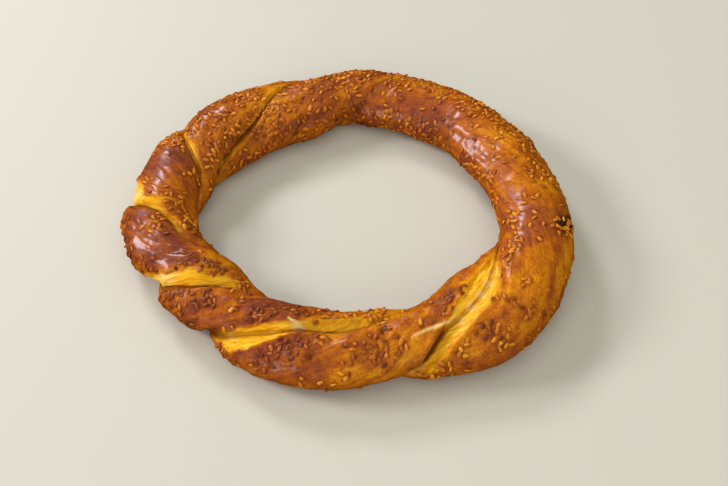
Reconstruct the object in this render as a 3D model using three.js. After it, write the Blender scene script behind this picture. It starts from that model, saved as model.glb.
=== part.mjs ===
// A simit: a ring of bread twisted from two ropes of dough and baked into one piece.
// Millimetres, +Z up. The ring rests on z = 0, with its bounding box centred on the Z axis.
import * as THREE from "three";
import { ParametricGeometry } from "three/addons/geometries/ParametricGeometry.js";
import { mergeVertices } from "three/addons/utils/BufferGeometryUtils.js";

const DEGREE = Math.PI / 180;
const TURN = 360;

// The ring's course. Each station has its plan angle in degrees from +X, anticlockwise from
// above, then the radius of the middle line, half the twist's width, and its height.
const STATIONS = [
  [0, 73.8, 14.3, 23.5],
  [30, 71.8, 13.8, 23.5],
  [45, 72.2, 13.4, 22.5],
  [60, 72.6, 14.6, 21],
  [90, 71, 13, 20],
  [105, 68, 15.9, 20.5],
  [120, 68.3, 15.8, 21],
  [150, 71.5, 16.6, 22],
  [165, 72.3, 15, 22],
  [180, 74.5, 14.2, 23],
  [195, 71.8, 13.1, 22.5],
  [210, 67, 15, 22],
  [240, 64.8, 14.4, 21],
  [255, 64.6, 15.2, 21],
  [270, 64.8, 13.9, 21],
  [285, 64.4, 14, 21],
  [300, 67.6, 15.4, 22.5],
  [315, 70.6, 19.2, 24],
  [330, 73.4, 17.2, 25],
  [345, 75, 14.9, 24.5],
];

// The creases where one rope passes over the other. Each point has its plan angle, then its
// angle round the section: 0 on the ring's outer side, 90 on its crest, 180 on its inner side.
const CREASES = [
  [[60, 20], [72, 60], [80, 104], [87, 170]],
  [[113, 63], [125, 114], [134, 140], [144, 154], [155, 173]],
  [[147, 30], [152, 62], [158, 106], [163, 140], [170, 174]],
  [[177, 0], [180, 24], [182.5, 62], [186, 92], [192, 114], [200, 128], [208, 158]],
  [[207.5, 2], [213, 43], [218, 72], [222, 98], [227, 120], [235, 145]],
  [[233.5, 22], [241, 56], [250, 82], [258, 96], [270, 102], [281, 110], [291, 140]],
  [[291, 4], [295, 36], [298, 58], [301, 72], [308, 84], [319, 100], [328, 122], [340, 155]],
];

// The section of the twist, in shares of its half width and half height.
const CREASE_SHARE = 0.81; // how far out a crease lies
const CROWN_SHARE = 1.1; // how far out the crown of a rope lies where half of it shows
const ROPE_OFFSET = 0.5; // how far a rope's middle lies from the twist's, in rope radii
const ROPE_PRESS = 1.28; // how much the two ropes are pressed together
const NARROW_POWER = 0.7; // how fast the crown falls where less than half of a rope shows
const REST_SHARE = 0.86; // height of the middle line above the rest, in half heights

const STEPS_ROUND_RING = 152;
const STEPS_ROUND_TWIST = 36;
const JOIN_DISTANCE = 1e-4;

const CRUST_COLOUR = 0xa85a17;

const evenSlope = (before, after, runBefore, runAfter) =>
  (before * runBefore + after * runAfter) / (runBefore + runAfter);
const steadySlope = (before, after) => (2 * before * after) / (before + after);

// A smooth closed curve through [angle, value] points with rising angles. The angles repeat
// after `period`, with `gain` added to the value. It gives the value and its slope.
function closedCurve(points, period, gain, slopeRule) {
  const count = points.length;
  const point = (index) => {
    const turns = Math.floor(index / count);
    const [angle, value] = points[index - turns * count];
    return [angle + turns * period, value + turns * gain];
  };
  const slopeAt = (index) => {
    const [[a, valueA], [b, valueB], [c, valueC]] = [index - 1, index, index + 1].map(point);
    return slopeRule((valueB - valueA) / (b - a), (valueC - valueB) / (c - b), b - a, c - b);
  };
  return (angle) => {
    let first = -count;
    while (point(first + 1)[0] <= angle) first += 1;
    const [start, startValue] = point(first);
    const [end, endValue] = point(first + 1);
    const span = end - start;
    const share = (angle - start) / span;
    const [startRise, endRise] = [slopeAt(first) * span, slopeAt(first + 1) * span];
    const cubic = 2 * (startValue - endValue) + startRise + endRise;
    const square = 3 * (endValue - startValue) - 2 * startRise - endRise;
    return {
      value: ((cubic * share + square) * share + startRise) * share + startValue,
      slope: ((3 * cubic * share + 2 * square) * share + startRise) / span,
    };
  };
}

const alongRing = (column) =>
  closedCurve(STATIONS.map((station) => [station[0], station[column]]), TURN, 0, evenSlope);
const middleRadius = alongRing(1);
const halfWidth = alongRing(2);
const fullHeight = alongRing(3);

// There is an odd number of creases, so one line runs through every second one and passes
// through them all in two turns of the ring.
function creaseLine() {
  const points = [];
  for (let passed = 0; passed < 2 * CREASES.length; passed += 2) {
    const turns = Math.floor(passed / CREASES.length);
    for (const [plan, section] of CREASES[passed % CREASES.length])
      points.push([plan + turns * TURN, section + (passed / 2) * TURN]);
  }
  return closedCurve(points, 2 * TURN, CREASES.length * TURN, steadySlope);
}

const sectionAngleOfCrease = creaseLine();
const TURNS_TO_NEXT_CREASE = (CREASES.length + 1) / 2;

// The outline of a round rope that is pressed against its twin, at an angle from its crown.
function pressedRope(angle) {
  const [along, across] = [Math.cos(angle), Math.sin(angle)];
  const round = ROPE_OFFSET * along + Math.sqrt(1 - (ROPE_OFFSET * across) ** 2);
  return round / Math.hypot(ROPE_PRESS * along, across);
}

const ROPE_AT_CROWN = pressedRope(0);
const ROPE_AT_CREASE = pressedRope(Math.PI / 2);

// How far out a rope reaches, as a share of the half size. `across` goes from 0 to 1 between
// the rope's creases, and `showing` is the share of a full turn that it takes up.
function ropeReach(across, showing) {
  const rope = pressedRope(Math.PI * (across - 0.5));
  const rise = (rope - ROPE_AT_CREASE) / (ROPE_AT_CROWN - ROPE_AT_CREASE);
  const crown = Math.min(1, (2 * showing) ** NARROW_POWER);
  return CREASE_SHARE + (CROWN_SHARE - CREASE_SHARE) * rise * crown;
}

// A point of the crust. `round` goes from 0 to 1 along the ring. `about` goes from 0 to 1
// about the twist, over one rope and then the other. The baking tray flattens the underside.
function crustPoint(round, about, target) {
  const plan = TURN * round;
  const behind = sectionAngleOfCrease(plan + TURN).value - TURNS_TO_NEXT_CREASE * TURN;
  const ahead = sectionAngleOfCrease(plan).value;
  const onFirstRope = about < 0.5;
  const [from, to] = onFirstRope ? [behind, ahead] : [ahead, behind + TURN];
  const across = onFirstRope ? 2 * about : 2 * about - 1;
  const sectionAngle = (from + (to - from) * across) * DEGREE;
  const reach = ropeReach(across, (to - from) / TURN);
  const sideways = halfWidth(plan).value * reach * Math.cos(sectionAngle);
  const halfHeight = fullHeight(plan).value / 2;
  const height = halfHeight * (REST_SHARE + reach * Math.sin(sectionAngle));
  const radius = middleRadius(plan);
  const outwards = new THREE.Vector2(radius.value, -radius.slope / DEGREE)
    .normalize()
    .multiplyScalar(sideways);
  outwards.x += radius.value;
  outwards.rotateAround(new THREE.Vector2(), plan * DEGREE);
  target.set(outwards.x, outwards.y, Math.max(height, 0));
}

function simitRing() {
  const crust = new ParametricGeometry(crustPoint, STEPS_ROUND_RING, STEPS_ROUND_TWIST);
  crust.deleteAttribute("normal");
  crust.deleteAttribute("uv");
  const closed = mergeVertices(crust, JOIN_DISTANCE);
  closed.computeBoundingBox();
  const middle = closed.boundingBox.getCenter(new THREE.Vector3());
  closed.translate(-middle.x, -middle.y, 0);
  closed.computeVertexNormals();
  const material = new THREE.MeshStandardMaterial({
    color: CRUST_COLOUR,
    roughness: 0.45,
    metalness: 0,
  });
  const ring = new THREE.Mesh(closed, material);
  ring.name = "simit_ring";
  return ring;
}

const simit = new THREE.Group();
simit.add(simitRing());

export default simit;
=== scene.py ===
"""A simit: twisted bread crust with torn pale seams, and the sesame seeds baked onto it.

Shapes are worked out in millimetres, with +Z up, and turned into metres as each mesh is made.
"""

import math

import bpy
import numpy as np
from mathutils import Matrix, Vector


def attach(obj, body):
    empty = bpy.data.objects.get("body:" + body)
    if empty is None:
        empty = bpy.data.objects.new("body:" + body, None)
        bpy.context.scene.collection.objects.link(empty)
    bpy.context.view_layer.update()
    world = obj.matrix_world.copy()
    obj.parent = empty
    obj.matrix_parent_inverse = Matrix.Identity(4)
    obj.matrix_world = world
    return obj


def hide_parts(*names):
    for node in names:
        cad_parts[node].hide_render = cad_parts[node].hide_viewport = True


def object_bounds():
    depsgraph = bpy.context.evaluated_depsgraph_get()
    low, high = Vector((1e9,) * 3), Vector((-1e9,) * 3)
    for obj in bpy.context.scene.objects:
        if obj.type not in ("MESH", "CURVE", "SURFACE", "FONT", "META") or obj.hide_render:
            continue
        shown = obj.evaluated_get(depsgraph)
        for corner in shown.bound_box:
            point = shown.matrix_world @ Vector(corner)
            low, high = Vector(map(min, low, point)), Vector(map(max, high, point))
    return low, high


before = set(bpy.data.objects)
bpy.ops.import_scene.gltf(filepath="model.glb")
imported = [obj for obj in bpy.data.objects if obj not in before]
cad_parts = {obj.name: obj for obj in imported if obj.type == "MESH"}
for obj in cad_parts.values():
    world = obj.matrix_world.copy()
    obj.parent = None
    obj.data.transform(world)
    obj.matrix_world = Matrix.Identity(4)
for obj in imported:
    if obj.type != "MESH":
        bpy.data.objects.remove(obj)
cad_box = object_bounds()

MM = 0.001
TURN = 360.0
rng = np.random.default_rng(2026)

# ---------------------------------------------------------------- the twist, as the frame has it
# Plan angle in degrees from +X, radius of the middle line, half the twist's width, its height.
STATIONS = [
    [0, 73.8, 14.3, 23.5], [30, 71.8, 13.8, 23.5], [45, 72.2, 13.4, 22.5], [60, 72.6, 14.6, 21],
    [90, 71, 13, 20], [105, 68, 15.9, 20.5], [120, 68.3, 15.8, 21], [150, 71.5, 16.6, 22],
    [165, 72.3, 15, 22], [180, 74.5, 14.2, 23], [195, 71.8, 13.1, 22.5], [210, 67, 15, 22],
    [240, 64.8, 14.4, 21], [255, 64.6, 15.2, 21], [270, 64.8, 13.9, 21], [285, 64.4, 14, 21],
    [300, 67.6, 15.4, 22.5], [315, 70.6, 19.2, 24], [330, 73.4, 17.2, 25], [345, 75, 14.9, 24.5],
]
# Plan angle, then section angle: 0 on the ring's outer side, 90 on its crest, 180 inside.
CREASES = [
    [[60, 20], [72, 60], [80, 104], [87, 170]],
    [[113, 63], [125, 114], [134, 140], [144, 154], [155, 173]],
    [[147, 30], [152, 62], [158, 106], [163, 140], [170, 174]],
    [[177, 0], [180, 24], [182.5, 62], [186, 92], [192, 114], [200, 128], [208, 158]],
    [[207.5, 2], [213, 43], [218, 72], [222, 98], [227, 120], [235, 145]],
    [[233.5, 22], [241, 56], [250, 82], [258, 96], [270, 102], [281, 110], [291, 140]],
    [[291, 4], [295, 36], [298, 58], [301, 72], [308, 84], [319, 100], [328, 122], [340, 155]],
]
# The section of the twist, in shares of its half width and half height.
CREASE_SHARE = 0.81  # how far out a crease lies
CROWN_SHARE = 1.1  # how far out the crown of a rope lies where half of it shows
ROPE_OFFSET = 0.5  # how far a rope's middle lies from the twist's, in rope radii
ROPE_PRESS = 1.28  # how much the two ropes are pressed together
NARROW_POWER = 0.7  # how fast the crown falls where less than half of a rope shows
REST_SHARE = 0.86  # height of the middle line above the rest, in half heights
NEXT_CREASE = (len(CREASES) + 1) / 2 * TURN

ROWS = 620  # along the ring
COLUMNS = 160  # about the twist
HALF = COLUMNS // 2  # about one rope
CREASE_CROWDING = 0.35  # how much closer the columns stand at the creases


def closed_curve(points, period, gain=0.0, steady=False):
    """A smooth curve through (angle, value) points that repeats after period, with gain added."""
    angles, values = np.array(points, float).T
    knots = np.concatenate([angles + period * turn for turn in (-1, 0, 1)])
    heights = np.concatenate([values + gain * turn for turn in (-1, 0, 1)])
    runs = np.diff(knots)
    rates = np.diff(heights) / runs
    before, after = rates[:-1], rates[1:]
    if steady:
        slopes = 2 * before * after / (before + after)
    else:
        slopes = (before * runs[:-1] + after * runs[1:]) / (runs[:-1] + runs[1:])
    slopes = np.concatenate([[0], slopes, [0]])

    def curve(angle):
        turns = np.floor(angle / period)
        within = angle - turns * period
        first = np.clip(np.searchsorted(knots, within, side="right") - 1, 1, len(knots) - 3)
        span = knots[first + 1] - knots[first]
        share = (within - knots[first]) / span
        low, high = heights[first], heights[first + 1]
        start, end = slopes[first] * span, slopes[first + 1] * span
        cubic = 2 * (low - high) + start + end
        square = 3 * (high - low) - 2 * start - end
        value = ((cubic * share + square) * share + start) * share + low + turns * gain
        return value, ((3 * cubic * share + 2 * square) * share + start) / span

    return curve


middle_radius, half_width, full_height = (
    closed_curve([(station[0], station[column]) for station in STATIONS], TURN)
    for column in (1, 2, 3)
)


def crease_line():
    """One line that passes through every second crease, and so through all in two turns."""
    points = []
    for passed in range(0, 2 * len(CREASES), 2):
        turns = passed // len(CREASES)
        for plan, section in CREASES[passed % len(CREASES)]:
            points.append((plan + turns * TURN, section + passed / 2 * TURN))
    return closed_curve(points, 2 * TURN, len(CREASES) * TURN, steady=True)


section_of_crease = crease_line()


def pressed_rope(angle):
    """How far out a round rope reaches, at an angle from its crown, pressed against its twin."""
    along, across = np.cos(angle), np.sin(angle)
    round_part = ROPE_OFFSET * along + np.sqrt(1 - (ROPE_OFFSET * across) ** 2)
    return round_part / np.hypot(ROPE_PRESS * along, across)


def rope_reach(across, showing):
    """How far out the twist reaches, across a rope of which this share of a turn shows."""
    flat, top = pressed_rope(math.pi / 2), pressed_rope(0.0)
    rise = (pressed_rope(math.pi * (across - 0.5)) - flat) / (top - flat)
    crown = np.minimum(1, (2 * showing) ** NARROW_POWER)
    return CREASE_SHARE + (CROWN_SHARE - CREASE_SHARE) * rise * crown


def twist_point(plan, section, reach):
    """The point of the smooth twist at a plan angle and section angle, in mm."""
    radius, radius_slope = middle_radius(plan)
    sideways = half_width(plan)[0] * reach * np.cos(np.radians(section))
    height = full_height(plan)[0] / 2 * (REST_SHARE + reach * np.sin(np.radians(section)))
    slope = -radius_slope / math.radians(1)
    length = np.hypot(radius, slope)
    out_x = radius + radius / length * sideways
    out_y = slope / length * sideways
    turn = np.radians(plan)
    return np.stack(
        [
            out_x * np.cos(turn) - out_y * np.sin(turn),
            out_x * np.sin(turn) + out_y * np.cos(turn),
            height,
        ],
        -1,
    )


def ropes_at(plan):
    """Section angles of the two creases that part the twist into its two ropes."""
    return section_of_crease(plan + TURN)[0] - NEXT_CREASE, section_of_crease(plan)[0]


def spot_point(plan, section):
    """The point of the smooth twist at any plan and section angle, in mm, recentred."""
    plan, section = np.asarray(plan, float), np.asarray(section, float)
    behind, ahead = ropes_at(plan)
    section = section - TURN * np.floor((section - behind) / TURN)
    first = section < ahead
    start = np.where(first, behind, ahead)
    end = np.where(first, ahead, behind + TURN)
    reach = rope_reach((section - start) / (end - start), (end - start) / TURN)
    return twist_point(plan, section, reach) - recentre


# ---------------------------------------------------------------- the grid over the crust
# Columns follow the ropes. After one turn of the ring each rope carries on as the other.
plan_of_row = TURN * np.arange(ROWS) / ROWS
step = np.arange(HALF) / HALF
across_rope = step - CREASE_CROWDING * np.sin(2 * math.pi * step) / (2 * math.pi)
behind, ahead = (edge[:, None] for edge in ropes_at(plan_of_row))
section = np.concatenate(
    [behind + (ahead - behind) * across_rope, ahead + (behind + TURN - ahead) * across_rope], 1
)
showing = np.concatenate(
    [np.repeat((ahead - behind) / TURN, HALF, 1), np.repeat(1 - (ahead - behind) / TURN, HALF, 1)], 1
)
across = np.tile(across_rope, (ROWS, 2))
plan = np.repeat(plan_of_row[:, None], COLUMNS, 1)
rope_angle = np.concatenate([plan[:, :HALF], plan[:, HALF:] + TURN], 1)


def next_row(grid):
    """The values one row further along the ring. The ropes change places after the last row."""
    return np.concatenate([grid[1:], np.roll(grid[:1], HALF, axis=1)])


def last_row(grid):
    """The values one row back along the ring."""
    return np.concatenate([np.roll(grid[-1:], HALF, axis=1), grid[:-1]])


def next_column(grid):
    """The values one column further about the twist."""
    return np.roll(grid, -1, axis=1)


def last_column(grid):
    """The values one column back about the twist."""
    return np.roll(grid, 1, axis=1)


def unit(vectors):
    return vectors / np.maximum(np.linalg.norm(vectors, axis=-1, keepdims=True), 1e-12)


# The frame has the ring's box centred on the Z axis.
smooth = twist_point(plan, section, rope_reach(across, showing))
lowest, highest = smooth.min((0, 1)), smooth.max((0, 1))
recentre = np.array([(lowest[0] + highest[0]) / 2, (lowest[1] + highest[1]) / 2, 0.0])
smooth = smooth - recentre


def outwards(points):
    """Unit directions straight out of the crust at each grid point of these points."""
    along = next_row(points) - last_row(points)
    about = next_column(points) - last_column(points)
    return unit(np.cross(along, about))


out = outwards(smooth)

# How far each point lies from the creases at the two edges of its rope, square to them.
step_length = np.linalg.norm(next_column(smooth) - smooth, axis=-1)
from_first = np.zeros((ROWS, COLUMNS))
for start in (0, HALF):
    lengths = step_length[:, start : start + HALF]
    from_first[:, start : start + HALF] = np.cumsum(lengths, 1) - lengths
rope_breadth = np.concatenate(
    [np.repeat(step_length[:, part].sum(1)[:, None], HALF, 1)
     for part in (slice(0, HALF), slice(HALF, COLUMNS))], 1
)
to_last = rope_breadth - from_first


def squareness():
    """Sine of the angle between each crease and the section it crosses."""
    along = unit(next_row(smooth) - last_row(smooth))
    about = unit(next_column(smooth) - last_column(smooth))
    sine = np.linalg.norm(np.cross(along, about), axis=-1)
    first, second = sine[:, :1], sine[:, HALF : HALF + 1]
    at_start = np.concatenate([np.repeat(first, HALF, 1), np.repeat(second, HALF, 1)], 1)
    at_end = np.concatenate([np.repeat(second, HALF, 1), np.repeat(first, HALF, 1)], 1)
    return at_start, at_end


square_start, square_end = squareness()
inner_gap = from_first * square_start  # mm from the crease at the rope's outer edge
outer_gap = to_last * square_end  # mm from the crease at the rope's inner edge
inner_crease = (rope_angle + TURN) % (2 * TURN)
outer_crease = rope_angle


# ---------------------------------------------------------------- noise, spots and lines
def lattice(cells, seed):
    """A repeatable number from -1 to 1 for each whole-number cell."""
    mixed = (cells[..., 0] * 73856093) ^ (cells[..., 1] * 19349663) ^ (cells[..., 2] * 83492791)
    mixed = (mixed ^ (seed * 2654435761)) & 0xFFFFFFFF
    mixed = ((mixed ^ (mixed >> 16)) * 0x45D9F3B) & 0xFFFFFFFF
    mixed = ((mixed ^ (mixed >> 16)) * 0x45D9F3B) & 0xFFFFFFFF
    mixed = mixed ^ (mixed >> 16)
    return mixed / 0x7FFFFFFF - 1


def soft_noise(points, size, seed):
    """Smooth noise from about -1 to 1 with lumps of this size."""
    places = points / size + 100.5
    cells = np.floor(places).astype(np.int64)
    share = places - cells
    share = share * share * share * (share * (share * 6 - 15) + 10)
    total = 0
    for corner in range(8):
        bits = np.array([corner & 1, corner >> 1 & 1, corner >> 2 & 1])
        weight = np.prod(np.where(bits, share, 1 - share), axis=-1)
        total = total + weight * lattice(cells + bits, seed)
    return total * 1.4


def mottle(points, size, seed):
    """Noise of three sizes, each half the last."""
    return (
        soft_noise(points, size, seed)
        + 0.5 * soft_noise(points, size / 2, seed + 1)
        + 0.25 * soft_noise(points, size / 4, seed + 2)
    ) / 1.4


def swell(distance, breadth):
    """1 at no distance, falling to about a third at the breadth."""
    return np.exp(-((distance / breadth) ** 2))


def ease(low, high, value):
    """Goes smoothly from 0 at low to 1 at high."""
    share = np.clip((value - low) / (high - low), 0, 1)
    return share * share * (3 - 2 * share)


def spots(rows):
    """Adds up soft round spots. Each row has plan angle, section angle, radius in mm, amount."""
    total = np.zeros((ROWS, COLUMNS))
    for spot_plan, spot_section, radius, amount in rows:
        centre = spot_point(spot_plan, spot_section)
        total += amount * swell(np.linalg.norm(smooth - centre, axis=-1), radius)
    return total


def to_line(stations):
    """Distance in mm from a line over the crust, and the share of the way along it."""
    plans, sections = np.array(stations, float).T
    knots = np.arange(len(stations))
    fine = np.linspace(0, len(stations) - 1, 6 * len(stations))
    path = spot_point(np.interp(fine, knots, plans), np.interp(fine, knots, sections))
    near = np.full((ROWS, COLUMNS), 1e9)
    share = np.zeros((ROWS, COLUMNS))
    for index, (start, end) in enumerate(zip(path[:-1], path[1:])):
        run = end - start
        part = np.clip(((smooth - start) @ run) / (run @ run), 0, 1)
        gap = np.linalg.norm(smooth - start - part[..., None] * run, axis=-1)
        closer = gap < near
        near[closer] = gap[closer]
        share[closer] = (index + part[closer]) / (len(path) - 1)
    return near, share


# A point's place in its rope, for streaks that follow it: along it, drawn up into a small
# circle that both turns of the ring go round once, and across it.
STRAND_CIRCLE = 12
STRAND_ACROSS = 0.5
turn_of_rope = np.radians(rope_angle / 2)
strand = np.stack(
    [
        STRAND_CIRCLE * np.cos(turn_of_rope),
        STRAND_CIRCLE * np.sin(turn_of_rope),
        (from_first - rope_breadth / 2) * square_start * STRAND_ACROSS,
    ],
    -1,
)

# ---------------------------------------------------------------- seams of bare, torn dough
# For each crease: plan angle, mm of bare dough on its inner side, then on its outer side, and
# how pale it is.
SEAMS = [
    [[50, 0, 0, 0.2], [66, 0.2, 0.6, 0.25], [72, 0.3, 1.1, 0.3], [78, 0.3, 1.1, 0.3],
     [86, 0, 0, 0.2]],
    [[108, 0, 0, 0.2], [114, 0.3, 1.4, 0.3], [120, 0.4, 1.7, 0.35], [126, 0.5, 1.0, 0.25],
     [134, 1.1, 0.3, 0.3], [144, 1.2, 0.2, 0.35], [152, 0.8, 0, 0.3], [160, 0, 0, 0.2]],
    [[145, 0, 0, 0.3], [150, 0.1, 0, 0.4], [152, 1.2, 0, 0.7], [155, 2.2, 0.1, 0.9],
     [158, 1.4, 0.1, 0.9], [161, 0.5, 0.1, 0.5], [165, 0.1, 0, 0.2], [168, 0, 0, 0.2]],
    [[168, 7, 0, 0.9], [172, 10, 0, 1], [176, 11.5, 0, 1], [178, 10.5, 0, 1], [180, 8, 0, 1],
     [182, 5, 0, 0.95], [184, 3, 0.2, 0.8], [187, 1.8, 0.2, 0.4], [190, 2.6, 0.2, 0.8],
     [193, 2.4, 0.2, 0.8], [196, 1.2, 0, 0.4], [202, 0, 0, 0.3]],
    [[195, 0, 0, 0.9], [198, 5, 0.3, 1], [202, 9.2, 0.3, 1], [205, 9.8, 0.4, 1],
     [208, 8.4, 0.5, 1], [212, 7, 0.5, 1], [216, 6, 0.5, 1], [220, 4.8, 0.4, 0.95],
     [224, 3.4, 0.3, 0.8], [228, 1.4, 0, 0.6], [232, 0, 0, 0.5]],
    [[228, 0, 0, 0.8], [231, 0.8, 2, 0.9], [234, 1.4, 4.6, 1], [238, 1.8, 5.4, 1],
     [243, 2.4, 5, 1], [248, 2.8, 3.4, 0.95], [253, 3, 1.6, 0.9], [258, 3.8, 0.6, 0.8],
     [263, 4.6, 0.3, 0.75], [268, 5, 0, 0.75], [276, 4, 0, 0.65], [281, 1, 0, 0.4],
     [287, 0, 0, 0.3]],
    [[284, 0, 0, 0.4], [289, 0, 1.5, 0.5], [292, 0, 3, 0.6], [296, 0, 4.4, 0.7],
     [300, 0.2, 6.2, 0.8], [303, 2.6, 6, 0.95], [308, 4.4, 4.8, 1], [313, 5.8, 4.2, 1],
     [318, 6.6, 3.8, 1], [324, 4.4, 3.2, 1], [330, 2.2, 1.4, 0.9], [334, 1, 0.4, 0.8],
     [340, 0, 0, 0.6]],
]


def beside_creases(tables, column, crease_angle):
    """A value laid along the creases, read at each point's crease."""
    angles, values = [], []
    for index, table in enumerate(tables):
        for row in table:
            angles.append(row[0] + TURN * (index % 2))
            values.append(row[column])
    order = np.argsort(angles)
    angles, values = np.array(angles, float)[order], np.array(values, float)[order]
    return np.interp(crease_angle, angles, values, period=2 * TURN)


inner_seam = beside_creases(SEAMS, 1, inner_crease)
outer_seam = beside_creases(SEAMS, 2, outer_crease)
ragged = 0.75 * soft_noise(smooth, 4.0, 11) + 0.4 * soft_noise(smooth, 1.6, 12)
EDGE_BLUR = 0.7  # mm on each side of a seam's edge


def bare_share(gap, seam):
    """1 in the middle of a seam and 0 on the crust, with a ragged edge."""
    edge = seam + ragged * np.minimum(1, seam / 3)
    return ease(EDGE_BLUR, -EDGE_BLUR, gap - edge) * np.minimum(1, seam / 0.8)


bare_inner, bare_outer = bare_share(inner_gap, inner_seam), bare_share(outer_gap, outer_seam)
bare = np.maximum(bare_inner, bare_outer)
pale = np.maximum(
    bare_inner * beside_creases(SEAMS, 3, inner_crease),
    bare_outer * beside_creases(SEAMS, 3, outer_crease),
)

# Where one rope laps over the other: plan angle, mm that the inner rope is over the outer one.
LAPS = [
    [[60, 0], [86, 0.1]],
    [[113, -0.2], [134, 0.5], [155, 0.3]],
    [[147, 0.1], [158, 0.15], [170, 0.1]],
    [[174, -0.5], [186, -0.6], [200, -0.6]],
    [[205, -0.6], [218, -0.7], [227, -0.7], [235, -0.4]],
    [[231, 0.1], [250, 0.0], [260, -0.5], [281, -0.4]],
    [[288, 0.3], [294, 0.9], [300, 0.9], [305, 0.2], [318, 0.0], [334, -0.3]],
]
inner_lap = beside_creases(LAPS, 1, inner_crease)
outer_lap = -beside_creases(LAPS, 1, outer_crease)

lumps = 0.42 * soft_noise(smooth, 15, 1) + 0.2 * soft_noise(smooth, 6.5, 2)
dimples = 0.15 * soft_noise(smooth, 2.6, 3) + 0.08 * soft_noise(smooth, 1.5, 4)
wrinkle_share = 0.5 + 0.5 * ease(-0.5, 0.6, soft_noise(smooth, 18, 6))
wrinkles = 0.25 * mottle(strand, 1.0, 5) * wrinkle_share
rise = lumps + (dimples + wrinkles) * (1 - 0.6 * pale)

# How a crease looks: plan angle, how deep its cut is in shares of CUT_DEPTH, and mm that it is
# filled out.
CUTS = [
    [[60, 0, 1.2], [72, 0.05, 1.4], [80, 0.1, 1.4], [87, 0.1, 1.4], [95, 0.1, 1]],
    [[113, 0.6, 0.2], [121, 0.9, 0.1], [130, 1, 0], [146, 0.9, 0], [155, 0.6, 0]],
    [[147, 0.5, 0.1], [152, 0.9, 0], [158, 1, 0], [164, 0.9, 0], [170, 0.6, 0]],
    [[174, 0.6, 0], [181, 0.9, 0], [192, 0.9, 0], [200, 0.8, 0]],
    [[205, 0.9, 0], [213, 1, 0], [222, 1, 0], [235, 0.6, 0]],
    [[231, 0.8, 0], [241, 0.8, 0.2], [250, 0.9, 0.2], [258, 0.9, 0.1], [270, 0.8, 0.1],
     [281, 0.8, 0], [291, 0.5, 0]],
    [[288, 0.8, 0], [294, 1.1, 0], [301, 1, 0], [306, 0.7, 0.3], [312, 0.5, 0.4], [326, 0.5, 0.3],
     [334, 0.7, 0.1], [340, 0.6, 0]],
]
inner_cut, outer_cut = (beside_creases(CUTS, 1, angle) for angle in (inner_crease, outer_crease))
inner_fill, outer_fill = (beside_creases(CUTS, 2, angle) for angle in (inner_crease, outer_crease))

# All in mm. A lap's middle lies this far from its crease, and a lip's from the seam's edge.
FILL_BREADTH = 3.2
CUT_DEPTH = 0.8
CUT_BREADTH = 0.75
LAP_MIDDLE = 1.6
LAP_BREADTH = 1.9
LIP_HEIGHT = 0.34
LIP_MIDDLE = 0.7
LIP_BREADTH = 0.8
SEAM_DEPTH = 0.8  # how far bare dough lies below the crust
for gap, seam, lap, cut, fill in (
    (inner_gap, inner_seam, inner_lap, inner_cut, inner_fill),
    (outer_gap, outer_seam, outer_lap, outer_cut, outer_fill),
):
    rise += fill * swell(gap, FILL_BREADTH)
    rise -= CUT_DEPTH * cut * swell(gap, CUT_BREADTH)
    rise += lap * swell(gap - LAP_MIDDLE, LAP_BREADTH)
    lip = np.minimum(1, seam / 1.5)
    rise += LIP_HEIGHT * lip * swell(gap - seam - LIP_MIDDLE, LIP_BREADTH)
    rise -= SEAM_DEPTH * np.minimum(1, seam / 4) * ease(0.6, -0.9, gap - seam)

# Torn, stringy dough in the seams.
strings = 0.16 * soft_noise(strand * [1.6, 1.6, 2.2], 1.0, 21)
rise += pale * (strings + 0.1 * soft_noise(smooth, 1.5, 22))

# Folds in the crust: the line, in plan and section angles, then its depth and breadth in mm.
FOLDS = [
    ([[2, 178], [8, 160], [14, 148], [22, 138], [30, 140], [38, 141], [46, 138], [54, 131]],
     0.55, 2.0),
    ([[93, 141], [100, 140], [106, 145], [112, 147], [117, 152]], 0.5, 1.6),
    ([[284, 62], [283, 75], [282, 92], [283, 104]], 0.3, 0.9),
    ([[293, 78], [296, 82], [299, 84], [303, 84]], 0.5, 0.9),
    ([[252, 99], [256, 96], [258, 94]], 0.3, 0.7),
    ([[262, 40], [270, 44], [277, 50]], 0.25, 1.6),
    ([[225, 60], [232, 80], [238, 92]], 0.25, 1.5),
    ([[187, 50], [193, 62], [199, 76], [205, 88]], 0.25, 1.6),
]
fold_painted_shade = np.zeros((ROWS, COLUMNS))
for line, depth, breadth in FOLDS:
    near, share = to_line(line)
    fading_depth = depth * ease(0, 0.2, share) * ease(1, 0.75, share)
    rise -= fading_depth * swell(near, breadth)
    # Painted shade along the fold.
    fold_painted_shade += fading_depth * swell(near, breadth * 0.8)

# Local swellings and hollows: plan angle, section angle, radius in mm, mm outwards.
SWELLINGS = [
    [161, 18, 8, -0.8], [167, 14, 6, -0.5], [173, 12, 6, -0.4], [175, 34, 5, -0.4], [179, 3, 4, 1.2],
    [187, 8, 6, -0.8], [200, 3, 6, -1.3], [203, 28, 7, -2.0], [205, 8, 5, -1.6], [210, 4, 4.5, 1.6],
    [214.5, -8, 8, -1.5], [220, -8, 8, -1.6], [225, -8, 8, -1.6], [229, -4, 7, -1.2],
    [246, -18, 9, 0.6], [231, 8, 7, -1.6], [232, 22, 5, -0.8], [213, 145, 8, 0.9], [160, 45, 8, 0.5],
    [262, 110, 6, -0.3], [310, 112, 4, 0.5], [245, 25, 6, 0.4], [190, 30, 7, 0.4],
    [222, 35, 6, 0.4], [272, 62, 5, 0.45], [286, 84, 5, 0.4], [258, 55, 5, 0.4], [296, 60, 4, 0.3],
    [266, 45, 4, -0.4], [280, 66, 4, -0.4], [251, 42, 4, -0.3], [228, 62, 4, -0.3],
    [194, 62, 4, -0.3], [210, 110, 5, 0.4], [345, 60, 6, -0.3], [335, 90, 6, 0.3],
]
rise += spots(SWELLINGS)

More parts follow.
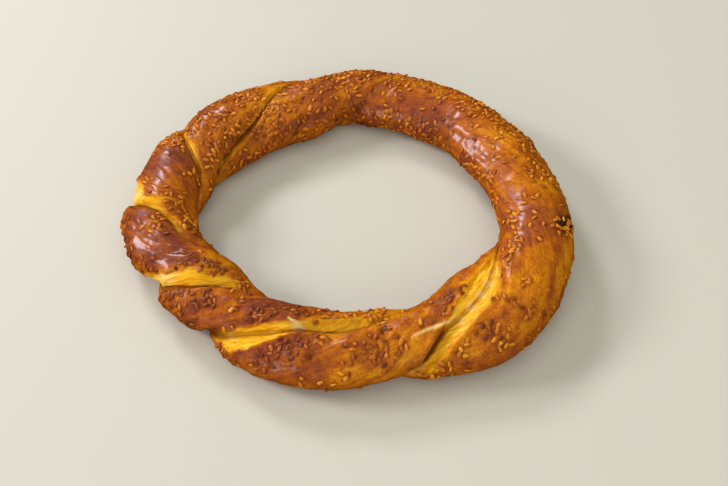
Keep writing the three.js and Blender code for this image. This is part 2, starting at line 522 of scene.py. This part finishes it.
# Pale flakes where the crust has torn: the line, then its breadth in mm.
FLAKES = [
    ([[251, 105], [254, 102], [257, 98]], 1.4),
    ([[291, 70], [294, 74], [297, 77], [300, 79], [303, 80]], 0.65),
]
flake = np.zeros((ROWS, COLUMNS))
for line, breadth in FLAKES:
    near, share = to_line(line)
    tapered = breadth * (0.4 + 2.4 * share * (1 - share)) * (1 + 0.4 * soft_noise(smooth, 1.4, 61))
    flake = np.maximum(flake, ease(1.3, 0.5, near / np.maximum(tapered, 0.1)))
FLAKE_HEIGHT = 0.3
rise += FLAKE_HEIGHT * flake

# The tray flattens the underside, with a rounded edge, and the highest crowns are levelled
# just below the frame's top. All in mm.
TRAY_EDGE = 1.2
TRAY_DROP = 0.35
LEVEL_START = 0.4
LEVEL_SOFTNESS = 0.5
points = smooth + out * rise[..., None]
height = points[..., 2]
rounded = 0.5 * (height + np.sqrt(height**2 + TRAY_EDGE**2)) - TRAY_DROP
points[..., 2] = np.maximum(rounded, 0)
cad_top = cad_box[1][2] / MM
level = cad_top - LEVEL_START
over = points[..., 2] - level
levelled = level + LEVEL_SOFTNESS * np.tanh(over / LEVEL_SOFTNESS)
points[..., 2] = np.where(over > 0, levelled, points[..., 2])
out = outwards(points)

# ---------------------------------------------------------------- how each part has baked, and painted shade
# Darker and lighter areas: plan angle, section angle, radius in mm, amount. The lighter spot at plan
# 270, section 48 is partly lighter bake and partly a painted highlight on glossy crust.
TOASTING = [
    [190, 45, 10, 0.22], [198, 60, 10, 0.25], [206, 82, 9, 0.2], [182, 50, 8, 0.15],
    [222, 45, 10, 0.22], [230, 70, 10, 0.22], [238, 95, 9, 0.2], [224, 20, 9, 0.1],
    [245, 25, 9, 0.25], [252, 50, 9, 0.2], [262, 70, 9, 0.12], [272, 70, 9, 0.16],
    [300, 110, 11, 0.1], [322, 25, 9, -0.12], [338, 40, 10, -0.16], [315, 60, 10, -0.08],
    [170, 65, 11, 0.36], [163, 95, 10, 0.15], [60, 140, 12, 0.45], [159, 98, 5, 0.25],
    [45, 150, 12, 0.2], [25, 160, 12, 0.15], [140, 140, 12, 0.15], [92, 80, 10, 0.1],
    [105, 160, 12, 0.15], [80, 165, 12, 0.15], [245, 125, 12, 0.3], [185, 140, 10, 0.1],
    [200, 110, 8, 0.05], [350, 85, 12, 0.32], [340, 70, 10, 0.05], [278, 20, 10, 0.05],
    [290, 30, 10, -0.1], [12, 100, 10, 0.12], [345, 140, 10, 0.12], [270, 48, 7, -0.3],
    [300, 82, 7, -0.03], [290, 60, 7, -0.1], [75, 60, 10, 0.1], [135, 60, 10, 0.12],
]
# Where the torn dough is cream: the same four values.
CREAMY = [
    [203, 30, 3.2, 0.7], [206, 42, 3.6, 0.8], [209, 54, 3.2, 0.5], [178, 60, 3.0, 0.7],
    [177, 42, 3, 0.6], [255, 97, 2.2, 1.2], [235, 40, 2.5, 0.3], [306, 76, 1.8, 0.7],
    [311, 88, 1.8, 0.9], [316, 95, 1.8, 0.9], [321, 104, 1.8, 0.9], [326, 116, 1.8, 0.7],
]
# Where the crust and the dough are olive, because little heat reached them: the same values.
OLIVE = [
    [268, 108, 6, 0.8], [260, 104, 4, 0.5], [276, 116, 5, 0.6], [120, 85, 5, 0.5], [128, 128, 4, 0.4],
    [79, 90, 5, 0.5], [157, 96, 4, 0.4], [138, 146, 5, 0.6], [150, 160, 5, 0.5], [162, 140, 5, 0.5],
    [114, 84, 5, 0.6], [310, 72, 4, 0.3], [318, 104, 5, 0.3], [290, 12, 5, 0.5], [352, 45, 6, 0.4],
]
SCORCHED = [[349, 52, 3.2, 0.9], [351, 42, 3.6, 0.9], [353, 32, 3.0, 0.7]]

# 0 is pale gold crust and 1 is dark brown.
MIDDLE_TOAST = 0.5
toast = MIDDLE_TOAST + spots(TOASTING)
toast += 0.1 * soft_noise(smooth, 14, 31) + 0.13 * mottle(smooth, 6, 32)
toast += 0.12 * mottle(strand, 1.2, 33)
underside = ease(3.0, 0.0, points[..., 2])
toast += 0.12 * underside
edge_glow = np.maximum(
    swell(inner_gap - inner_seam, 1.6) * np.minimum(1, inner_seam / 2),
    swell(outer_gap - outer_seam, 1.6) * np.minimum(1, outer_seam / 2),
)
toast -= 0.3 * edge_glow * (1 - pale)
cream = np.maximum(np.clip(spots(CREAMY), 0, 1) * pale, 2.5 * flake)
pale = np.maximum(pale, 0.9 * flake)
olive = np.clip(spots(OLIVE), 0, 1)

# Painted shade: crevices are darkened in colour at the cuts, at the foot of each lapping rope, where
# it stands for a shadow, and along the folds.
painted_shade = 0.9 * inner_cut * swell(inner_gap, 0.6) + 0.9 * outer_cut * swell(outer_gap, 0.6)
painted_shade *= 1 - 0.2 * pale
painted_shade += 0.5 * np.maximum(0, -inner_lap) * swell(inner_gap - 0.6, 0.8)
painted_shade += 0.5 * np.maximum(0, -outer_lap) * swell(outer_gap - 0.6, 0.8)
painted_shade += 0.6 * fold_painted_shade

scorch = ease(0.25, 0.8, spots(SCORCHED) + 0.2 * soft_noise(smooth, 2.2, 41))

# Glaze is brushed over the crust. Torn dough has next to none, and it is thin on the seams' lips
# and where it ran off: plan angle, section angle, radius in mm, share that is missing.
THIN_GLAZE = [
    [186, 64, 5, 0.85], [220, 38, 8, 0.75], [224, 66, 8, 0.8], [230, 86, 6, 0.6], [214, 20, 5, 0.5],
    [252, 60, 8, 0.4], [329, 98, 7, 0.6], [270, 95, 8, 0.6], [5, 120, 9, 0.4],
]
FULL_GLAZE = 0.5
lips = np.maximum(
    swell(inner_gap - inner_seam - 0.5, 1.6) * np.minimum(1, inner_seam / 1.5),
    swell(outer_gap - outer_seam - 0.5, 1.6) * np.minimum(1, outer_seam / 1.5),
)
glaze = FULL_GLAZE * (1 - np.clip(spots(THIN_GLAZE), 0, 1))
glaze *= (1 - 0.85 * pale) * (1 - 0.7 * lips)


# ---------------------------------------------------------------- meshes
def metres(values):
    """Points in millimetres as one list of points in metres."""
    return (np.asarray(values) * MM).reshape(-1, 3)


def add_mesh(name, vertices, faces, uvs, values, material):
    """A smooth-shaded piece from arrays, with its baking layout and its point values."""
    mesh = bpy.data.meshes.new(name)
    mesh.from_pydata(vertices.tolist(), [], faces)
    mesh.uv_layers.new(name="OFBake").data.foreach_set("uv", np.asarray(uvs, np.float32).ravel())
    for title, numbers in values.items():
        numbers = np.asarray(numbers, np.float32)
        kind = "FLOAT_VECTOR" if numbers.ndim == 2 else "FLOAT"
        layer = mesh.attributes.new(title, kind, "POINT")
        layer.data.foreach_set("vector" if numbers.ndim == 2 else "value", numbers.ravel())
    mesh.shade_smooth()
    mesh.materials.append(material)
    piece = bpy.data.objects.new(name, mesh)
    bpy.context.scene.collection.objects.link(piece)
    return piece


def crust_faces():
    """Four-sided faces over the grid, turned outwards, and their corners' baking layout."""
    rows, columns = np.meshgrid(np.arange(ROWS), np.arange(COLUMNS), indexing="ij")
    corners, layout = [], []
    strip_rows = ROWS // 2
    margin = 0.004
    for row_step, column_step in ((0, 0), (1, 0), (1, 1), (0, 1)):
        row, column = rows + row_step, (columns + column_step) % COLUMNS
        wrapped = row == ROWS
        column = np.where(wrapped, (column + HALF) % COLUMNS, column)
        corners.append((np.where(wrapped, 0, row) * COLUMNS + column).ravel())
        across_strip = (columns + column_step) / COLUMNS
        along_strip = (rows % strip_rows + row_step) / strip_rows
        strip = rows // strip_rows
        layout.append(np.stack([
            margin + (1 - 2 * margin) * along_strip,
            0.5 * strip + margin + (0.5 - 2 * margin) * across_strip,
        ], -1).reshape(-1, 2))
    return np.stack(corners, 1).tolist(), np.stack(layout, 1).reshape(-1, 2)


# ---------------------------------------------------------------- sesame seeds
SEED_LENGTH = 2.75
SEED_WIDTH = 1.7
SEED_THICKNESS = 0.85
SEED_LIFT = 0.14  # height of a seed's middle above the crust, in thicknesses
SEED_BEND = 0.25  # mm of dip, times the square of a point's share of the length
SEED_RINGS = 7
SEED_SIDES = 10
# Clusters: plan angle, section angle, radius in mm, how many, how dark they are roasted.
CLUSTERS = [
    [186, 22, 3.5, 8, 0.7], [193, 14, 4.5, 12, 0.75], [200, 28, 4, 8, 0.75], [191, 82, 3, 11, 0.35],
    [209, 82, 3, 6, 0.8], [213, 97, 3.2, 9, 0.8], [217, 106, 3.2, 9, 0.75], [224, 121, 3.2, 8, 0.6],
    [228, 132, 3, 6, 0.4], [184, 111, 2.5, 5, 0.5], [186, 130, 3, 6, 0.5], [190, 138, 3, 5, 0.3],
    [193, 155, 4, 9, 0.3], [167, 130, 3, 5, 0.3], [175, 66, 2, 2, 0.4], [210, 12, 3, 9, 0.85],
    [215, 38, 3, 9, 0.85], [220, 62, 3, 9, 0.85], [225, 74, 2.5, 6, 0.8], [234, 91, 2.5, 3, 0.35],
    [241, 86, 3.5, 8, 0.85], [245, 93, 3, 5, 0.85], [223, 22, 3, 3, 0.6], [254, 122, 4, 10, 0.75],
    [264, 129, 4, 7, 0.6], [279, 141, 3.5, 9, 0.35], [283, 146, 3, 8, 0.4], [282, 116, 3, 7, 0.35],
    [233, 4, 3, 8, 0.8], [237, 358, 3, 6, 0.8], [249, 30, 3.5, 7, 0.75], [251, 52, 3, 7, 0.75],
    [256, 60, 4, 12, 0.8], [262, 78, 3, 6, 0.6], [272, 54, 3.5, 6, 0.7], [274, 70, 3.5, 6, 0.7],
    [270, 19, 2, 2, 0.1], [260, 2, 2.5, 2, 0.1], [265, 2, 2.5, 2, 0.1], [284, 68, 4, 10, 0.7],
    [280, 57, 3.5, 7, 0.7], [310, 112, 3.6, 8, 0.85], [304, 97, 3.5, 6, 0.75], [294, 355, 3, 7, 0.35],
    [297, 3, 3, 8, 0.3], [318, 70, 3, 6, 0.6], [310, 48, 3, 7, 0.85], [303, 36, 3, 5, 0.35],
    [313, 32, 4, 9, 0.25], [320, 1, 4, 7, 0.6], [323, 33, 3.5, 6, 0.6], [329, 4, 4, 6, 0.6],
    [338, 9, 4, 7, 0.6], [328, 71, 3, 4, 0.5], [333, 104, 3.5, 7, 0.35], [339, 109, 4, 10, 0.4],
    [60, 66, 8, 34, 0.4], [44, 74, 7, 28, 0.4], [26, 74, 7, 28, 0.38], [9, 70, 6, 15, 0.35],
    [74, 80, 7, 22, 0.42], [90, 93, 7, 24, 0.42], [52, 168, 8, 32, 0.55], [72, 165, 7, 18, 0.5],
    [86, 177, 7, 20, 0.75], [29, 187, 7, 15, 0.6], [4, 160, 5, 8, 0.3], [352, 107, 7, 18, 0.35],
    [107, 89, 8, 28, 0.4], [122, 149, 6, 25, 0.7], [136, 95, 7, 25, 0.48], [155, 54, 6, 25, 0.42],
    [148, 171, 5, 10, 0.35], [85, 62, 9, 26, 0.4], [38, 58, 9, 24, 0.4], [126, 75, 6, 16, 0.4],
    [145, 82, 5, 12, 0.4], [350, 46, 3.4, 14, 0.3], [158, 160, 5, 9, 0.35],
]
# Places with few seeds: plan angle, section angle, radius in mm, share of them that is missing.
CLEARED = [
    [78, 122, 8, 0.9], [64, 118, 8, 0.95], [50, 124, 8, 0.95], [36, 132, 8, 0.95], [22, 130, 7, 0.8],
    [110, 120, 7, 0.6], [335, 60, 12, 0.6],
]
SCATTERED = 390
SPACING = 1.7  # mm between seeds' middles, before it varies
LOWEST_SEED = 2.0  # mm above the rest
HIGHEST_SEED = cad_top - 0.7


def pick_places():
    """Grid points for the seeds, with how dark each is roasted, kept clear of one another."""
    flat_points, flat_out = points.reshape(-1, 3), out.reshape(-1, 3)
    area = np.linalg.norm(
        np.cross(next_row(points) - points, next_column(points) - points), axis=-1
    )
    room = (area * (1 - 0.985 * bare) ** 3 * (points[..., 2] > LOWEST_SEED)).ravel()
    room *= np.where(flat_points[:, 2] > HIGHEST_SEED, 0.0, 1.0)
    room = room * (1 - 0.8 * swell(np.minimum(inner_gap, outer_gap), 0.8).ravel())
    room = room * (1 - np.clip(spots(CLEARED), 0, 1)).ravel()
    upper = 0.35 + 0.65 * ease(-0.6, 0.4, out[..., 2]).ravel()
    patchy = np.clip(0.7 + 0.9 * soft_noise(smooth, 11, 51).ravel(), 0.08, 2)
    back = 0.12 + 0.88 * ease(-0.2, 0.6, np.cos(np.radians(plan.ravel() - 85)))
    chosen = np.zeros((0, 3))
    found = []

    def place(weights, count, roast):
        """Adds seeds by weight. Without a roast of their own they take the crust's."""
        nonlocal chosen
        weights = weights / weights.sum()
        placed = 0
        for index in rng.choice(len(weights), size=6 * count, p=weights):
            jitter = rng.uniform(-0.3, 0.3, 3)
            spot = flat_points[index] + jitter - flat_out[index] * (jitter @ flat_out[index])
            gaps = np.linalg.norm(chosen - spot, axis=1)
            if len(gaps) and gaps.min() < SPACING * rng.uniform(0.75, 1.3):
                continue
            chosen = np.vstack([chosen, spot])
            dark = roast if roast is not None else 0.2 + 0.5 * toast.ravel()[index]
            found.append((index, spot, float(np.clip(dark + rng.normal(0, 0.13), 0, 1))))
            placed += 1
            if placed == count:
                break

    for cluster_plan, cluster_section, radius, count, roast in CLUSTERS:
        centre = spot_point(cluster_plan, cluster_section)
        near = swell(np.linalg.norm(flat_points - centre, axis=1), radius)
        place(room * near, count, roast)
    place(room * upper * patchy * back, SCATTERED, None)
    return found


def seed_shape():
    """One seed lying flat, its narrow end towards +X: points, faces and baking layout."""
    middle = 0.47
    shape = []
    for ring in range(1, SEED_RINGS + 1):
        share = 0.5 - 0.5 * math.cos(math.pi * ring / (SEED_RINGS + 1))
        girth = 2 * math.sqrt(share * (1 - share)) * (1.12 - 0.5 * share)
        for side in range(SEED_SIDES):
            turn = 2 * math.pi * side / SEED_SIDES
            shape.append(
                (share - middle, girth / 2 * math.cos(turn), girth / 2 * math.sin(turn))
            )
    shape.append((-middle, 0, 0))
    shape.append((1 - middle, 0, 0))
    blunt, sharp = len(shape) - 2, len(shape) - 1
    faces, layout = [], []

    def at(ring, side):
        """Where a corner of the seed lies on its cell of the baking layout."""
        return (0.04 + 0.92 * side / SEED_SIDES, 0.04 + 0.92 * ring / (SEED_RINGS + 1))

    for side in range(SEED_SIDES):
        after = (side + 1) % SEED_SIDES
        faces.append((blunt, after, side))
        layout += [at(0, side + 0.5), at(1, side + 1), at(1, side)]
        for ring in range(SEED_RINGS - 1):
            low, high = ring * SEED_SIDES, (ring + 1) * SEED_SIDES
            faces.append((low + side, low + after, high + after, high + side))
            layout += [at(ring + 1, side), at(ring + 1, side + 1)]
            layout += [at(ring + 2, side + 1), at(ring + 2, side)]
        low = (SEED_RINGS - 1) * SEED_SIDES
        faces.append((low + side, low + after, sharp))
        layout += [at(SEED_RINGS, side), at(SEED_RINGS, side + 1)]
        layout.append(at(SEED_RINGS + 1, side + 0.5))
    return np.array(shape), faces, np.array(layout)


def sow(found, material):
    """All the seeds as one piece."""
    shape, shape_faces, shape_layout = seed_shape()
    cells = math.ceil(math.sqrt(len(found)))
    flat_out = out.reshape(-1, 3)
    vertices, faces, layout, roast, tint = [], [], [], [], []
    for number, (index, spot, dark) in enumerate(found):
        up = unit(flat_out[index] + rng.normal(0, 0.2, 3))
        lead = unit(np.cross(up, unit(rng.normal(0, 1, 3))))
        side = np.cross(up, lead)
        size = rng.uniform(0.82, 1.1)
        length = SEED_LENGTH * size * rng.uniform(0.95, 1.05)
        width = SEED_WIDTH * size * rng.uniform(0.9, 1.08)
        thick = SEED_THICKNESS * size
        body = (
            spot
            + up * (SEED_LIFT * thick)
            + shape[:, :1] * length * lead
            + shape[:, 1:2] * width * side
            + (shape[:, 2:3] * thick - SEED_BEND * shape[:, :1] ** 2) * up
        )
        body[:, 2] = np.maximum(body[:, 2], 0.02)
        base = len(vertices) * len(shape)
        vertices.append(body)
        faces += [tuple(base + corner for corner in face) for face in shape_faces]
        cell = np.array([number % cells, number // cells])
        layout.append((cell + shape_layout) / cells)
        roast.append(np.full(len(shape), dark))
        tint.append(np.full(len(shape), rng.uniform()))
    values = {"roast": np.concatenate(roast), "tint": np.concatenate(tint)}
    corners = metres(np.concatenate(vertices))
    return add_mesh("sesame_seeds", corners, faces, np.concatenate(layout), values, material)


seed_places = pick_places()

# Painted shade: the crust is darkened right beside each seed, standing for the seed's shadow. Only
# rows this close to it can be near enough.
ROWS_BESIDE = 6
FAR_OFF = 9.0
seed_gap = np.full(ROWS * COLUMNS, FAR_OFF)
flat_points = points.reshape(-1, 3)
for index, spot, _ in seed_places:
    row = index // COLUMNS
    rows = np.arange(row - ROWS_BESIDE, row + ROWS_BESIDE + 1) % ROWS
    block = (rows[:, None] * COLUMNS + np.arange(COLUMNS)[None]).ravel()
    gaps = np.linalg.norm(flat_points[block] - spot, axis=1)
    seed_gap[block] = np.minimum(seed_gap[block], gaps)
seed_gap = seed_gap.reshape(ROWS, COLUMNS)
painted_shade += 0.5 * ease(1.9, 1.0, seed_gap) * (1 - 0.5 * pale)
painted_shade = np.clip(painted_shade, 0, 1)


# ---------------------------------------------------------------- materials
def feed(tree, socket, value):
    """Links another socket in, or sets a plain value."""
    if isinstance(value, bpy.types.NodeSocket):
        tree.links.new(value, socket)
    else:
        socket.default_value = value


def add_node(tree, kind, **settings):
    """A node with its properties set, and its inputs, as in_ and a name or a number."""
    made = tree.nodes.new(kind)
    for name, value in settings.items():
        key = name[3:]
        if not name.startswith("in_"):
            setattr(made, name, value)
        elif key.isdigit():
            feed(tree, made.inputs[int(key)], value)
        else:
            feed(tree, made.inputs[key], value)
    return made


def math_node(tree, operation, first, second=0.0):
    return add_node(tree, "ShaderNodeMath", operation=operation, in_0=first, in_1=second).outputs[0]


def blend(tree, share, first, second, kind="MIX"):
    """A mix of two colours, of which share is the second's."""
    made = add_node(
        tree, "ShaderNodeMix", data_type="RGBA", blend_type=kind, in_0=share, in_6=first,
        in_7=second,
    )
    return made.outputs[2]


def ramp(tree, value, stops):
    """A colour read off stops of position and colour."""
    made = add_node(tree, "ShaderNodeValToRGB", in_0=value)
    elements = made.color_ramp.elements
    while len(elements) < len(stops):
        elements.new(0.5)
    for element, (position, colour) in zip(elements, stops):
        element.position = position
        element.color = (*colour, 1)
    return made.outputs[0]


def remap(tree, value, low, high, new_low, new_high):
    """A value carried over from one range to another."""
    made = add_node(
        tree, "ShaderNodeMapRange", in_0=value, in_1=low, in_2=high, in_3=new_low, in_4=new_high
    )
    return made.outputs[0]


def noise_value(tree, vector, scale, detail=3.0, roughness=0.55):
    made = add_node(
        tree, "ShaderNodeTexNoise", in_Vector=vector, in_Scale=scale, in_Detail=detail,
        in_Roughness=roughness,
    )
    return made.outputs[0]


def attribute(tree, name):
    return add_node(tree, "ShaderNodeAttribute", attribute_name=name)


def new_group(name, inputs, outputs):
    """An empty node group with named sockets: its tree, its way in and its way out."""
    tree = bpy.data.node_groups.new(name, "ShaderNodeTree")
    for title, kind in inputs:
        tree.interface.new_socket(title, in_out="INPUT", socket_type=kind)
    for title, kind in outputs:
        tree.interface.new_socket(title, in_out="OUTPUT", socket_type=kind)
    return tree, tree.nodes.new("NodeGroupInput"), tree.nodes.new("NodeGroupOutput")


def baked_colour_group():
    """Crust colour from pale gold to dark brown by how far it has baked; the darkest browns hold a
    little painted violet sheen.
    """
    tree, entry, leave = new_group(
        "baked colour",
        [("Toast", "NodeSocketFloat"), ("Place", "NodeSocketVector"), ("Strand", "NodeSocketVector")],
        [("Colour", "NodeSocketColor"), ("Mottle", "NodeSocketFloat")],
    )
    place, strand_place = entry.outputs["Place"], entry.outputs["Strand"]
    broad = noise_value(tree, place, 220, 4, 0.6)
    fine = noise_value(tree, place, 900, 3, 0.6)
    streak = noise_value(tree, strand_place, 0.9, 5, 0.65)
    level = entry.outputs["Toast"]
    for noise, swing in ((broad, 0.16), (streak, 0.19), (fine, 0.18)):
        level = math_node(tree, "ADD", level, remap(tree, noise, 0.25, 0.75, -swing, swing))
    colour = ramp(tree, level, [
        (0.0, (0.79, 0.36, 0.004)),
        (0.22, (0.64, 0.235, 0.001)),
        (0.42, (0.49, 0.146, 0.001)),
        (0.62, (0.36, 0.083, 0.003)),
        # Painted reflection: the two darkest stops hold a little blue, a violet tint standing for sky
        # sheen on the dark glaze.
        (0.82, (0.25, 0.053, 0.012)),
        (1.0, (0.16, 0.034, 0.014)),
    ])
    tree.links.new(colour, leave.inputs["Colour"])
    tree.links.new(level, leave.inputs["Mottle"])
    return tree


def fine_grain_group():
    """Small pits and grain, as a height."""
    tree, entry, leave = new_group(
        "fine grain",
        [("Place", "NodeSocketVector"), ("Size", "NodeSocketFloat")],
        [("Height", "NodeSocketFloat")],
    )
    place = entry.outputs["Place"]
    grain = noise_value(tree, place, entry.outputs["Size"], 4, 0.6)
    pits = add_node(tree, "ShaderNodeTexVoronoi", in_Vector=place, in_Scale=entry.outputs["Size"])
    pit_depth = remap(tree, pits.outputs[0], 0.0, 0.45, 0.0, 0.35)
    tree.links.new(math_node(tree, "ADD", grain, pit_depth), leave.inputs["Height"])
    return tree


baked_colour = baked_colour_group()
fine_grain = fine_grain_group()


def new_material(name):
    """A material with one surface shader and nothing fed into it yet."""
    material = bpy.data.materials.new(name)
    material.use_nodes = True
    tree = material.node_tree
    tree.nodes.clear()
    surface = tree.nodes.new("ShaderNodeBsdfPrincipled")
    leave = tree.nodes.new("ShaderNodeOutputMaterial")
    tree.links.new(surface.outputs[0], leave.inputs[0])
    return material, tree, surface


def use_group(tree, group, **inputs):
    made = tree.nodes.new("ShaderNodeGroup")
    made.node_tree = group
    for name, value in inputs.items():
        feed(tree, made.inputs[name], value)
    return made


def crust_material():
    """Glazed crust, with torn dough, scorched skin and painted shade in crevices and beside seeds
    where the masks say.
    """
    material, tree, surface = new_material("glazed bread crust")
    place = add_node(tree, "ShaderNodeTexCoord").outputs["Object"]
    strand_place = attribute(tree, "strand").outputs["Vector"]
    pale_mask = attribute(tree, "pale").outputs["Fac"]
    cream_mask = attribute(tree, "cream").outputs["Fac"]
    olive_mask = attribute(tree, "olive").outputs["Fac"]
    painted_shade_mask = attribute(tree, "painted_shade").outputs["Fac"]
    scorch_mask = attribute(tree, "scorch").outputs["Fac"]
    baked = use_group(
        tree, baked_colour, Toast=attribute(tree, "toast").outputs["Fac"], Place=place,
        Strand=strand_place,
    )
    olive_share = math_node(tree, "MULTIPLY", olive_mask, 0.45)
    colour = blend(tree, olive_share, baked.outputs["Colour"], (0.36, 0.15, 0.004, 1))
    # Torn dough: orange to pale yellow in strings, with some olive and some cream.
    torn = noise_value(tree, strand_place, 2.2, 5, 0.7)
    yellow = ramp(tree, torn, [
        (0.35, (0.56, 0.18, 0.004)),
        (0.45, (0.82, 0.34, 0.005)),
        (0.56, (0.87, 0.48, 0.015)),
        (0.68, (0.90, 0.62, 0.10)),
    ])
    olive_share = math_node(tree, "MULTIPLY", olive_mask, 0.8)
    yellow = blend(tree, olive_share, yellow, (0.42, 0.21, 0.004, 1))
    creamy = ramp(tree, torn, [(0.3, (0.62, 0.36, 0.06)), (0.6, (0.90, 0.66, 0.26))])
    strings = noise_value(tree, strand_place, 3.2, 3, 0.6)
    stringy = remap(tree, strings, 0.4, 0.56, 0.25, 1.0)
    cream_share = math_node(tree, "MULTIPLY", cream_mask, stringy)
    yellow = blend(tree, cream_share, yellow, creamy)
    colour = blend(tree, pale_mask, colour, yellow)
    colour = blend(tree, scorch_mask, colour, (0.055, 0.024, 0.009, 1))
    # Painted shade: the colour is multiplied towards dark brown where the painted shade mask is high.
    painted_shade_tint = blend(tree, painted_shade_mask, (1, 1, 1, 1), (0.30, 0.16, 0.07, 1))
    colour = blend(tree, 1.0, colour, painted_shade_tint, "MULTIPLY")
    tree.links.new(colour, surface.inputs["Base Color"])
    gloss = remap(tree, baked.outputs["Mottle"], 0.2, 0.9, 0.46, 0.33)
    rough = add_node(tree, "ShaderNodeMix", data_type="FLOAT", in_0=pale_mask, in_2=gloss, in_3=0.62)
    tree.links.new(rough.outputs[0], surface.inputs["Roughness"])
    tree.links.new(attribute(tree, "glaze").outputs["Fac"], surface.inputs["Coat Weight"])
    grain = use_group(tree, fine_grain, Place=place, Size=1300.0)
    bump = add_node(tree, "ShaderNodeBump", in_Strength=0.5, in_Distance=0.0003,
                    in_Height=grain.outputs["Height"])
    skin = noise_value(tree, strand_place, 1.7, 5, 0.65)
    wrinkled = add_node(tree, "ShaderNodeBump", in_Strength=0.7, in_Distance=0.0007, in_Height=skin,
                        in_Normal=bump.outputs[0])
    tree.links.new(wrinkled.outputs[0], surface.inputs["Normal"])
    surface.inputs["IOR"].default_value = 1.4
    surface.inputs["Specular IOR Level"].default_value = 0.06
    surface.inputs["Coat Roughness"].default_value = 0.25
    return material


def seed_material():
    """Sesame from pale gold to dark brown by its roast."""
    material, tree, surface = new_material("roasted sesame")
    place = add_node(tree, "ShaderNodeTexCoord").outputs["Object"]
    roast = attribute(tree, "roast").outputs["Fac"]
    tint = attribute(tree, "tint").outputs["Fac"]
    spread = noise_value(tree, place, 700, 3, 0.6)
    level = math_node(tree, "ADD", roast, remap(tree, spread, 0.25, 0.75, -0.16, 0.16))
    level = math_node(tree, "ADD", level, remap(tree, tint, 0.0, 1.0, -0.08, 0.08))
    colour = ramp(tree, level, [
        (0.0, (0.72, 0.31, 0.012)),
        (0.25, (0.60, 0.20, 0.005)),
        (0.5, (0.45, 0.12, 0.003)),
        (0.75, (0.28, 0.06, 0.003)),
        (1.0, (0.14, 0.026, 0.004)),
    ])
    tree.links.new(colour, surface.inputs["Base Color"])
    grain = use_group(tree, fine_grain, Place=place, Size=2600.0)
    bump = add_node(tree, "ShaderNodeBump", in_Strength=0.25, in_Distance=0.0002,
                    in_Height=grain.outputs["Height"])
    tree.links.new(bump.outputs[0], surface.inputs["Normal"])
    surface.inputs["IOR"].default_value = 1.4
    surface.inputs["Specular IOR Level"].default_value = 0.4
    surface.inputs["Roughness"].default_value = 0.42
    return material


crust_corner_faces, crust_layout = crust_faces()
crust = add_mesh(
    "simit_crust",
    metres(points),
    crust_corner_faces,
    crust_layout,
    {
        "pale": pale.ravel(), "cream": cream.ravel(), "olive": olive.ravel(), "toast": toast.ravel(),
        "painted_shade": painted_shade.ravel(), "scorch": scorch.ravel(), "glaze": glaze.ravel(),
        "strand": strand.reshape(-1, 3),
    },
    crust_material(),
)
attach(crust, "root")
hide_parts("simit_ring")

seeds = sow(seed_places, seed_material())
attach(seeds, "root")


# ---------------------------------------------------------------- floor, light and camera
def add_floor():
    material, tree, surface = new_material("pale floor")
    surface.inputs["Base Color"].default_value = (0.54, 0.525, 0.42, 1)
    surface.inputs["Roughness"].default_value = 0.6
    mesh = bpy.data.meshes.new("floor")
    reach = 6.0
    corners = [(-reach, -reach, 0), (reach, -reach, 0), (reach, reach, 0), (-reach, reach, 0)]
    mesh.from_pydata(corners, [], [(0, 1, 2, 3)])
    mesh.materials.append(material)
    floor = bpy.data.objects.new("floor", mesh)
    floor.location.z = -0.0001
    floor.visible_glossy = False
    bpy.context.scene.collection.objects.link(floor)


WINDOW_DISTANCE = 2.6
WINDOW_COLOUR = (0.93, 0.90, 1.0)


def add_softbox(name, direction, distance, size, power, colour, mirrored=True):
    """A soft light turned towards the bread. Only a mirrored one shows in the crust's gloss."""
    lamp = bpy.data.lights.new(name, "AREA")
    lamp.shape = "RECTANGLE"
    lamp.size, lamp.size_y = size
    lamp.energy = power
    lamp.color = colour
    holder = bpy.data.objects.new(name, lamp)
    bpy.context.scene.collection.objects.link(holder)
    away = unit(np.array(direction, float)) * distance
    holder.location = away.tolist()
    tilt = math.atan2(math.hypot(away[0], away[1]), away[2])
    holder.rotation_euler = (tilt, 0, math.atan2(away[1], away[0]) + math.pi / 2)
    holder.visible_glossy = mirrored


add_floor()
add_softbox("side window", (-0.86, 0.14, 0.48), WINDOW_DISTANCE, (0.75, 0.55), 46, WINDOW_COLOUR)
add_softbox("far window", (-0.44, 0.70, 0.55), WINDOW_DISTANCE, (0.65, 0.50), 34, WINDOW_COLOUR)
add_softbox("front window", (-0.58, -0.74, 0.38), WINDOW_DISTANCE, (0.80, 0.70), 13,
            (0.94, 0.94, 1.0))
add_softbox("overhead light", (0.1, -0.1, 1.0), 3.0, (3.6, 3.6), 32, (1.0, 0.98, 0.94), False)
add_softbox("front fill", (0.4, -0.9, 0.5), 3.2, (2.4, 1.8), 24, (1.0, 0.97, 0.92), False)

world = bpy.data.worlds.new("pale room")
world.use_nodes = True
world.node_tree.nodes["Background"].inputs[0].default_value = (0.95, 0.96, 1.0, 1)
world.node_tree.nodes["Background"].inputs[1].default_value = 0.4
world.cycles_visibility.glossy = False
bpy.context.scene.world = world
bpy.context.scene.view_settings.view_transform = "Standard"

camera_data = bpy.data.cameras.new("camera")
camera_data.lens = 50
camera_data.sensor_width = 36
camera = bpy.data.objects.new("camera", camera_data)
bpy.context.scene.collection.objects.link(camera)
bpy.context.scene.camera = camera
look_down = math.radians(50)
camera_distance = 0.400
target = (0.0071, -0.0151, 0.008)
camera.location = (
    target[0],
    target[1] - camera_distance * math.cos(look_down),
    target[2] + camera_distance * math.sin(look_down),
)
camera.rotation_euler = (math.pi / 2 - look_down, 0, 0)
